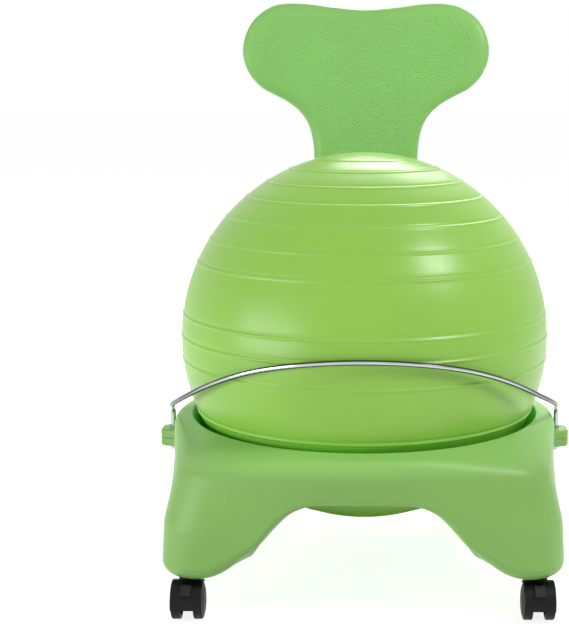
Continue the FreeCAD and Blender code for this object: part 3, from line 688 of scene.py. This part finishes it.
# Right half of the backrest's outline, in millimetres, from the middle of its top round to that of its foot
BACK_OUTLINE = (
    (0, 770.5), (50, 774.5), (88, 779.3), (117, 779.8), (139.2, 775.5), (158.3, 765), (173.3, 750),
    (182.9, 731), (187.2, 710), (184.8, 690), (175.3, 669.5), (159.2, 652.4), (139, 641.2), (119.6, 630.6),
    (101.5, 616), (89, 597.5), (82, 573), (79.8, 545), (79.8, 500), (80, 400), (80, 300), (80, 220),
    (80, 190), (77, 171), (66, 161), (50, 159), (0, 159))
# Height, set back of the face, and how far it bows forward at the reach from the middle, in millimetres
BACK_FACE = ((150, 0, 0), (230, 0, 0), (460, 0, 9), (620, 5, 22), (800, 22, 26))
BOW_REACH = 190.0
# The smoothed face in millimetres: its lowest and highest rows and the step between rows, then the rows kept
# spare beyond both ends, and the number of rows that are smoothed together
FACE_LOW = 150.0
FACE_HIGH = 800.0
FACE_STEP = 5.0
SPARE_ROWS = 20
SMOOTHED_ROWS = 21


def back_curve():
    """Closely spaced heights, with the face's set back and bow smoothed clear of the short table's kinks."""
    spare = SPARE_ROWS * FACE_STEP
    heights = np.arange(FACE_LOW - spare, FACE_HIGH + spare + FACE_STEP / 2, FACE_STEP)
    weights = np.hanning(SMOOTHED_ROWS + 2)[1:-1]
    weights /= weights.sum()
    knots, *columns = np.array(BACK_FACE, float).T
    smooth = [np.convolve(np.interp(heights, knots, column), weights, mode="same") for column in columns]
    return [row[SPARE_ROWS:-SPARE_ROWS] for row in (heights, *smooth)]


FACE_HEIGHTS, FACE_SET_BACK, FACE_BOW = back_curve()


# The backrest: how far its face stands behind the ball's middle, its thickness, and the step of its outline
BACK_FRONT_Y = 0.2646
BACK_THICKNESS = 0.030
OUTLINE_STEP = 0.003
# The front rim's width and depth, how far in the step down to the panel starts and ends, and its depth
RIM_WIDTH = 0.0205
RIM_DEPTH = 0.0135
STEP_INSET = 0.0213
PANEL_INSET = 0.0221
PANEL_SINK = 0.0002
# The parting line round the edge, as inset and depth, then the rear edge's width and depth and the depth of
# the rear face, the spacing of the net over both faces, and how close two points are to be one
PARTING_LINE = ((0.0, 0.0150), (-0.00035, 0.0155), (0.0, 0.0160))
REAR_WIDTH = 0.012
REAR_DEPTH = 0.0105
REAR_FACE = BACK_THICKNESS - 0.0003
NET_SPACING = 0.006
BACK_WELD = 0.00002


def back_face(x, z):
    """Depth of the backrest's plain face."""
    set_back = np.interp(z * 1000, FACE_HEIGHTS, FACE_SET_BACK)
    bow = np.interp(z * 1000, FACE_HEIGHTS, FACE_BOW)
    return BACK_FRONT_Y + (set_back - bow * (x * 1000 / BOW_REACH) ** 2) / 1000


def back_outline():
    """The whole outline of the backrest, with closely spaced points."""
    right = [(x / 1000, z / 1000) for x, z in BACK_OUTLINE]
    left = [(-x, z) for x, z in right[-2:0:-1]]
    return smooth_loop(right + left, OUTLINE_STEP)


def make_backrest():
    """The moulded backrest: a fat rounded rim, a parting line round its edge and a slightly sunk panel."""
    outline = back_outline()
    inward = -outward(outline)
    points, faces = [], []

    def ring(inset, depth):
        """Adds a row of points round the outline."""
        start = len(points)
        points.extend((x, back_face(x, z) + depth, z) for x, z in outline + inward * inset)
        return start

    def cap(inset, depth):
        """Adds a net of triangles that closes the outline."""
        loop = outline + inward * inset
        spots, triangles = fill_inside(loop, net_inside(loop, NET_SPACING))
        start = len(points)
        points.extend((x, back_face(x, z) + depth, z) for x, z in spots)
        faces.extend(tuple(start + i for i in triangle) for triangle in triangles)

    rows = [ring(PANEL_INSET, PANEL_SINK), ring(STEP_INSET, PANEL_SINK / 2)]
    for sine, cosine in quarter(steps=8):
        rows.append(ring(RIM_WIDTH * (1 - sine), RIM_DEPTH * (1 - cosine)))
    rows += [ring(inset, depth) for inset, depth in PARTING_LINE]
    for sine, cosine in quarter(steps=7):
        rows.append(ring(REAR_WIDTH * (1 - cosine), REAR_FACE - REAR_DEPTH * (1 - sine)))
    for first, second in zip(rows, rows[1:]):
        faces.extend(band(first, second, len(outline)))
    cap(PANEL_INSET, PANEL_SINK)
    cap(REAR_WIDTH, REAR_FACE)
    piece = add_piece("backrest_shell", points, faces, "base", ("backrest",), "back_plastic")
    weld(piece, BACK_WELD)


# The panel's diamond points: the spacing of their columns, their lowest and highest rows, the columns each
# side of the middle, how far in the first ones stand, and the reach and rise of a point's foot and top
STUD_PITCH = 0.0058
STUD_LOW = 0.32
STUD_HIGH = 0.78
STUD_COLUMNS = 40
STUD_INSET = 0.0232
STUD_LEVELS = ((0.0026, -0.0001), (0.0008, 0.0007))
STUD_CORNERS = ((1, 0), (0, 1), (-1, 0), (0, -1))


def make_studs():
    """The fine diamond points that cover the sunk panel, in staggered rows."""
    centres = []
    for row in range(int(STUD_LOW / (STUD_PITCH / 2)), int(STUD_HIGH / (STUD_PITCH / 2)) + 1):
        for column in range(-STUD_COLUMNS, STUD_COLUMNS + 1):
            centres.append(((column + 0.5 * (row % 2)) * STUD_PITCH, row * STUD_PITCH / 2))
    centres = np.array(centres)
    centres = centres[distance_inside(centres, back_outline()) > STUD_INSET]
    points, faces = [], []
    for x, z in centres:
        start = len(points)
        for reach, rise in STUD_LEVELS:
            for across, up in STUD_CORNERS:
                corner_x = x + across * reach
                corner_z = z + up * reach
                points.append((corner_x, back_face(corner_x, corner_z) + PANEL_SINK - rise, corner_z))
        faces += band(start, start + 4, 4)
        faces.append((start + 7, start + 6, start + 5, start + 4))
    piece = add_piece("backrest_studs", points, faces, "base", (), "back_plastic")
    piece.data.polygons.foreach_set("use_smooth", [False] * len(piece.data.polygons))


# The ring's section against the angle from the middle of a leg: radius and height, in millimetres, of the
# shoulder, of the middle of the outer wall, of the lower outer corner and of the lower inner corner, then
# the roundings of the shoulder, the lower outer corner and the lower inner corner
LEG_STATIONS = (
    (0.0, 306.0, 191.0, 334.0, 118.0, 341.0, 52.5, 203.0, 53.5, 28.0, 17.0, 12.0),
    (3.5, 304.0, 191.5, 331.0, 118.0, 337.0, 52.5, 214.0, 56.5, 28.0, 17.0, 12.0),
    (7.0, 297.0, 193.0, 320.0, 119.0, 324.0, 54.5, 227.0, 64.0, 28.0, 15.0, 12.0),
    (10.5, 289.0, 195.0, 306.0, 123.0, 310.5, 64.0, 234.0, 79.0, 27.0, 13.0, 11.0),
    (14.0, 281.5, 197.5, 294.0, 131.0, 299.0, 80.0, 232.0, 100.0, 25.0, 10.0, 10.0),
    (17.5, 275.5, 200.0, 284.0, 142.0, 289.0, 95.0, 224.0, 117.0, 23.0, 8.0, 9.0),
    (21.0, 270.5, 202.5, 276.0, 157.0, 279.5, 121.0, 213.0, 128.0, 21.0, 8.0, 7.0),
    (25.0, 266.5, 205.0, 269.5, 170.0, 270.5, 139.5, 207.0, 138.0, 18.0, 8.0, 6.0),
    (30.0, 264.0, 207.0, 265.5, 178.0, 264.5, 149.5, 205.0, 147.0, 15.0, 8.0, 5.0),
    (37.0, 262.8, 208.5, 263.5, 180.5, 260.5, 152.5, 204.0, 150.0, 13.0, 8.0, 5.0),
    (45.0, 262.5, 209.0, 263.0, 181.0, 259.5, 153.0, 203.5, 150.5, 13.0, 8.0, 5.0),
)
# The ring's upper inner rim and its lip under the ball, as radius, height and rounding, the roundings of the
# outer wall's middle and of the seam's edges, and the length of a degree round the outer wall, all in
# millimetres, then the angle between two sections
RING_RIM = (238.0, 215.0, 3.0)
RING_LIP = (191.5, 156.0, 2.5)
MIDDLE_ROUND = 40.0
SEAM_ROUND = 0.9
DEGREE_LENGTH = 4.55
SECTION_STEP = 0.9
# The lapped ears' levels, on the front half and on the rear half: low, high, and the roundings of both
FRONT_EARS = (0.1747, 0.1860, 0.0005, 0.0025)
REAR_EARS = (0.1630, 0.1743, 0.0025, 0.0005)
# The ears' plan: the flank from the ring's wall outwards, then the middle and the two radii of the round tip
EAR_FLANK = ((0.2400, 0.0330), (0.2560, 0.0285), (0.2640, 0.0232), (0.2705, 0.0192), (0.2768, 0.0174))
EAR_TIP = (0.2765, 0.0090)
EAR_TIP_RADII = (0.0070, 0.0078)
# The pad that the backrest's foot lies against: half its width, its lowest and highest heights, the rounding
# of its corners, and its levels as depth and inset
PAD_HALF_WIDTH = 0.074
PAD_LOW = 0.1595
PAD_HIGH = 0.203
PAD_CORNER = 0.005
PAD_LEVELS = ((0.246, 0.0), (0.2645, 0.0), (0.2650, 0.0005))
# How close two points of the base are to be one, and how sharp a fold is to show as an edge
BASE_WELD = 0.00001
BASE_SHARP = 40.0
# The largest share of a side that one rounding may take
LARGEST_SHARE = 0.47


def smooth_rows(knots, values, at):
    """Values between rows, on the smoothest curve through them."""
    count = len(knots)
    gap = np.diff(knots)
    left, right = np.zeros((count, count)), np.zeros(values.shape)
    left[0, 0] = left[-1, -1] = 1.0
    for i in range(1, count - 1):
        left[i, i - 1:i + 2] = gap[i - 1], 2 * (gap[i - 1] + gap[i]), gap[i]
        right[i] = 6 * ((values[i + 1] - values[i]) / gap[i] - (values[i] - values[i - 1]) / gap[i - 1])
    bend = np.linalg.solve(left, right)
    made = []
    for x in at:
        k = min(max(int(np.searchsorted(knots, x)) - 1, 0), count - 2)
        t, h = x - knots[k], gap[k]
        slope = (values[k + 1] - values[k]) / h - h * (2 * bend[k] + bend[k + 1]) / 6
        curl = (bend[k + 1] - bend[k]) / (6 * h)
        made.append(values[k] + t * slope + t * t * bend[k] / 2 + t ** 3 * curl)
    return made


def rounded_outline(corners, arc_steps, side_steps):
    """A closed outline through corners (across, up, rounding), as evenly divided arcs and sides."""
    count = len(corners)
    spots = [np.array(corner[:2]) for corner in corners]
    arcs = []
    for i in range(count):
        here, radius = spots[i], corners[i][2]
        before, after = spots[i - 1] - here, spots[(i + 1) % count] - here
        before_length, after_length = np.linalg.norm(before), np.linalg.norm(after)
        before, after = before / before_length, after / after_length
        half = math.acos(max(-1.0, min(1.0, float(before @ after)))) / 2
        reach = min(radius / math.tan(half), LARGEST_SHARE * before_length, LARGEST_SHARE * after_length)
        radius = reach * math.tan(half)
        inward = (before + after) / np.linalg.norm(before + after)
        centre = here + inward * radius / math.sin(half)
        start, end = here + before * reach - centre, here + after * reach - centre
        turn = math.atan2(start[0] * end[1] - start[1] * end[0], float(start @ end))
        arc = []
        for k in range(arc_steps + 1):
            a = turn * k / arc_steps
            arc.append(centre + np.array((start[0] * math.cos(a) - start[1] * math.sin(a),
                                          start[0] * math.sin(a) + start[1] * math.cos(a))))
        arcs.append(arc)
    made = []
    for i in range(count):
        made += arcs[i]
        start, end = arcs[i][-1], arcs[(i + 1) % count][0]
        made += [start + (end - start) * k / side_steps for k in range(1, side_steps)]
    return np.array(made)


def slab(points, faces, outline, levels, place):
    """A plate with rounded edges: the outline at each level (height, inset), closed at both ends."""
    normal = outward(outline)
    starts = []
    for height, inset in levels:
        starts.append(len(points))
        points.extend(place(u, v, height) for u, v in outline - normal * inset)
    for first, second in zip(starts, starts[1:]):
        faces.extend(band(first, second, len(outline)))
    for height, inset in (levels[0], levels[-1]):
        spots, triangles = fill_inside(outline - normal * inset, [])
        start = len(points)
        points.extend(place(u, v, height) for u, v in spots)
        faces.extend(tuple(start + i for i in triangle) for triangle in triangles)


def rounded_levels(low, high, low_round, high_round):
    """Levels (height, inset) of a plate whose lower and upper edges are rounded."""
    lower, upper = [], []
    for sine, cosine in quarter(steps=5):
        lower.append((low + low_round * (1 - sine), low_round * (1 - cosine)))
        upper.append((high - high_round * (1 - sine), high_round * (1 - cosine)))
    return lower[::-1] + upper


def ear_outline(side):
    """Plan of the lapped ears, spreading into the ring's wall."""
    half = list(EAR_FLANK)
    for sine, cosine in quarter(steps=6)[1:]:
        half.append((EAR_TIP[0] + EAR_TIP_RADII[0] * sine, EAR_TIP[1] + EAR_TIP_RADII[1] * cosine))
    return np.array([(x * side, y) for x, y in half] + [(x * side, -y) for x, y in half[::-1]])


def ring_sizes(turns):
    """The sizes of the ring's section at each angle from one seam, over two legs, to the other seam."""
    about_leg = [(-row[0], row[1:]) for row in LEG_STATIONS[:0:-1]]
    about_leg += [(row[0], row[1:]) for row in LEG_STATIONS]
    stations = [(LEG_TURN + turn, sizes) for turn, sizes in about_leg[:-1]]
    stations += [(180.0 - LEG_TURN + turn, sizes) for turn, sizes in about_leg]
    knots, rows = zip(*stations)
    return smooth_rows(np.array(knots), np.array(rows), turns)


def ring_section(sizes):
    """The rounded outline of the ring's section, as radius and height in millimetres."""
    shoulder, middle, outer, inner = sizes[0:2], sizes[2:4], sizes[4:6], sizes[6:8]
    shoulder_round, outer_round, inner_round = sizes[8:]
    corners = [RING_RIM, (*shoulder, shoulder_round), (*middle, MIDDLE_ROUND), (*outer, outer_round),
               (*inner, inner_round), RING_LIP]
    return rounded_outline(corners, arc_steps=7, side_steps=7)


def make_base_half(name, node, first, ears, pad):
    """One moulded half: ring and two legs, the seam's edges broken, the ears and, on one half, the pad."""
    ends = []
    for sine, cosine in quarter(steps=5):
        ends.append((SEAM_ROUND * (1 - cosine) / DEGREE_LENGTH, SEAM_ROUND * (1 - sine)))
    turns = ends + [(turn, 0.0) for turn in np.arange(SECTION_STEP, 180.0 - SECTION_STEP / 2, SECTION_STEP)]
    turns += [(180.0 - turn, inset) for turn, inset in ends[::-1]]
    points, faces, starts = [], [], []
    for (turn, inset), sizes in zip(turns, ring_sizes([turn for turn, _ in turns])):
        outline = ring_section(sizes) / 1000.0
        outline = outline - outward(outline) * inset / 1000.0
        angle = math.radians(first + turn)
        starts.append(len(points))
        points.extend((radius * math.cos(angle), radius * math.sin(angle), z) for radius, z in outline)
    count = len(outline)
    for start, following in zip(starts, starts[1:]):
        faces.extend(band(start, following, count))
    for start in (starts[0], starts[-1]):
        points.append(tuple(np.mean(np.array(points[start:start + count]), axis=0)))
        faces.extend(fan(start, count, len(points) - 1))

    for side in (-1, 1):
        slab(points, faces, ear_outline(side), rounded_levels(*ears), lambda u, v, level: (u, v, level))
    if pad:
        sides = ((-1, PAD_LOW), (1, PAD_LOW), (1, PAD_HIGH), (-1, PAD_HIGH))
        corners = [(side * PAD_HALF_WIDTH, z, PAD_CORNER) for side, z in sides]
        outline = rounded_outline(corners, arc_steps=6, side_steps=8)
        slab(points, faces, outline, PAD_LEVELS, lambda u, v, level: (u, level, v))
    piece = add_piece(name, points, faces, "base", (node,), "base_plastic")
    weld(piece, BASE_WELD)
    shade_by_angle(piece, BASE_SHARP)


# Widths of the broken edges: of washers and the plug, of stems, of nuts, bolts, sockets and hoods, of levers
FINE_EDGE = 0.0002
STEM_EDGE = 0.0003
PLAIN_EDGE = 0.0004
LEVER_EDGE = 0.0006
# How close two points are to be one, how flat a fold is to be none, and how sharp one is to be broken, then
# how sharp, in radians, the fender's side edges are at least, and how widely they are rounded
SAME_POINT = 0.000002
FLAT_FOLD = 0.8
BROKEN_FOLD = 32.0
FENDER_FOLD = 0.6
FENDER_ROUND = 0.0017


def softened(node, width, body, slot, steps=2, finish=None, wide=None):
    """A hard piece in its node's form, its sharp edges broken and those that wide picks out rounded more."""
    mesh = NODES[node].data.copy()
    mesh.materials.clear()
    mesh.materials.append(MAT[finish or slot])
    made = bmesh.new()
    made.from_mesh(mesh)
    bmesh.ops.remove_doubles(made, verts=made.verts, dist=SAME_POINT)
    bmesh.ops.dissolve_limit(made, angle_limit=math.radians(FLAT_FOLD), verts=made.verts, edges=made.edges)
    if wide:
        chosen = [edge for edge in made.edges
                  if wide(edge) and len(edge.link_faces) == 2 and edge.calc_face_angle(0.0) > FENDER_FOLD]
        bmesh.ops.bevel(made, geom=chosen, offset=FENDER_ROUND, offset_type="OFFSET", segments=4,
                        profile=0.5, affect="EDGES", clamp_overlap=True)
    made.to_mesh(mesh)
    made.free()
    mesh.polygons.foreach_set("use_smooth", [True] * len(mesh.polygons))
    piece = bpy.data.objects.new(node + "_soft", mesh)
    bpy.context.scene.collection.objects.link(piece)
    edge = piece.modifiers.new("edge", "BEVEL")
    edge.width = width
    edge.segments = steps
    edge.limit_method = "ANGLE"
    edge.angle_limit = math.radians(BROKEN_FOLD)
    edge.use_clamp_overlap = True
    even = piece.modifiers.new("even", "WEIGHTED_NORMAL")
    even.weight = 80
    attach(piece, body)
    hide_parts(node)


# The casters: how far each swivel stands from the middle both ways, and how far its wheels trail behind it
CASTER_XY = 0.219
TRAIL = 0.016
# Each caster's name, its signs along x and y, and whether it has a brake
CASTERS = (("front_left", -1, -1, True), ("front_right", 1, -1, True), ("rear_left", -1, 1, False),
           ("rear_right", 1, 1, False))
# The fender's side edges lie outside this radius from the axle, and this far aside from the caster's middle
FENDER_EDGE_R = 0.0259
FENDER_EDGE_ASIDE = 0.019
# The wheel's radius, the distance of its inner face from the caster's middle, the faces round it, and how
# sharp a fold is to show as an edge
WHEEL_R = 0.023
WHEEL_GAP = 0.0082
WHEEL_SEGMENTS = 96
WHEEL_SHARP = 50.0
# One wheel's section from its bore outwards. The hollow is given as radius and depth from the inner face,
# the rest as radius and distance from the caster's middle. Both edges of the tread are quarter rounds
HOLLOW = ((0.0031, 0.0), (0.0065, 0.0), (0.0065, 0.0072), (0.0186, 0.0072), (0.0186, 0.0))
INNER_EDGE_R = 0.0218
INNER_EDGE_ROUND = 0.0012
TREAD_LINE = ((0.0230, 0.0134), (0.02285, 0.0136), (0.02285, 0.0142), (0.0230, 0.0144))
OUTER_EDGE = (0.0208, 0.0174)
OUTER_EDGE_ROUND = 0.0022
HUB_CAP = (
    (0.0196, 0.01985), (0.0180, 0.02040), (0.0165, 0.02080), (0.0162, 0.02060), (0.0158, 0.02060),
    (0.0155, 0.02095), (0.0130, 0.02130), (0.0100, 0.02155), (0.0075, 0.02160), (0.0072, 0.02135),
    (0.0068, 0.02135), (0.0065, 0.02160), (0.0030, 0.02165), (0.0004, 0.02165))


def wheel_profile():
    """Radius and distance from the caster's middle, round one wheel from its bore to its hub cap."""
    rows = [(radius, WHEEL_GAP + depth) for radius, depth in HOLLOW]
    for sine, cosine in quarter(steps=5):
        rows.append((INNER_EDGE_R + INNER_EDGE_ROUND * sine, WHEEL_GAP + INNER_EDGE_ROUND * (1 - cosine)))
    rows += TREAD_LINE
    for sine, cosine in quarter(steps=6):
        rows.append((OUTER_EDGE[0] + OUTER_EDGE_ROUND * cosine, OUTER_EDGE[1] + OUTER_EDGE_ROUND * sine))
    rows += HUB_CAP
    return rows


def make_wheel(caster, letter, x_sign, y_sign):
    """One wheel turned from its profile, with its tread line and its cap's rings."""
    side = y_sign if letter == "a" else -y_sign
    axle_y = y_sign * (CASTER_XY + TRAIL)
    profile = wheel_profile()
    points, faces = turned(profile, WHEEL_SEGMENTS,
                           lambda u, v, out: (x_sign * CASTER_XY + side * out, axle_y + u, WHEEL_R + v))
    faces.append(tuple(range(len(points) - WHEEL_SEGMENTS, len(points))))
    name = "caster_%s_wheel_%s" % (caster, letter)
    piece = add_piece(name + "_turned", points, faces, name, (name,), "black_tread")
    weld(piece, SAME_POINT)
    shade_by_angle(piece, WHEEL_SHARP)


def on_fender_side(edge, x_sign, y_sign):
    """Whether an edge lies along the side of a caster's fender."""
    middle = (edge.verts[0].co + edge.verts[1].co) / 2
    along = y_sign * middle.y - CASTER_XY - TRAIL
    far = math.hypot(along, middle.z - WHEEL_R) > FENDER_EDGE_R
    return far and abs(middle.x - x_sign * CASTER_XY) > FENDER_EDGE_ASIDE


def make_casters():
    """The hoods, stems, wheels and brake levers of all four casters."""
    for caster, x_sign, y_sign, brake in CASTERS:
        hood = "caster_" + caster + "_hood"
        lever = "caster_" + caster + "_brake_lever"
        softened(hood, PLAIN_EDGE, hood, "black_nylon",
                 wide=lambda edge: on_fender_side(edge, x_sign, y_sign))
        softened("caster_" + caster + "_stem", STEM_EDGE, "base", "zinc_steel")
        for letter in "ab":
            make_wheel(caster, letter, x_sign, y_sign)
        if brake:
            softened(lever, LEVER_EDGE, lever, "black_nylon", steps=3, finish="lever_nylon")


def make_hardware():
    """The bar's and the backrest's fixings, the casters' sockets and the valve's plug."""
    softened("bar_nuts", PLAIN_EDGE, "base", "zinc_steel")
    softened("bar_washers", FINE_EDGE, "base", "zinc_steel")
    softened("backrest_bolts", PLAIN_EDGE, "base", "black_steel", steps=3)
    softened("backrest_washers", FINE_EDGE, "base", "zinc_steel")
    softened("caster_sockets", PLAIN_EDGE, "base", "black_nylon")
    softened("ball_valve_plug", FINE_EDGE, "plug", "valve_plastic")


def main():
    """The view, the studio and the whole chair."""
    make_camera()
    make_materials()
    make_surroundings()
    make_lamps()
    dress_nodes()
    make_ball()
    make_backrest()
    make_studs()
    make_base_half("base_front_shell", "base_front_half", 180.0, FRONT_EARS, pad=False)
    make_base_half("base_rear_shell", "base_rear_half", 0.0, REAR_EARS, pad=True)
    make_casters()
    make_hardware()
    bpy.context.scene.view_settings.view_transform = "Standard"


main()
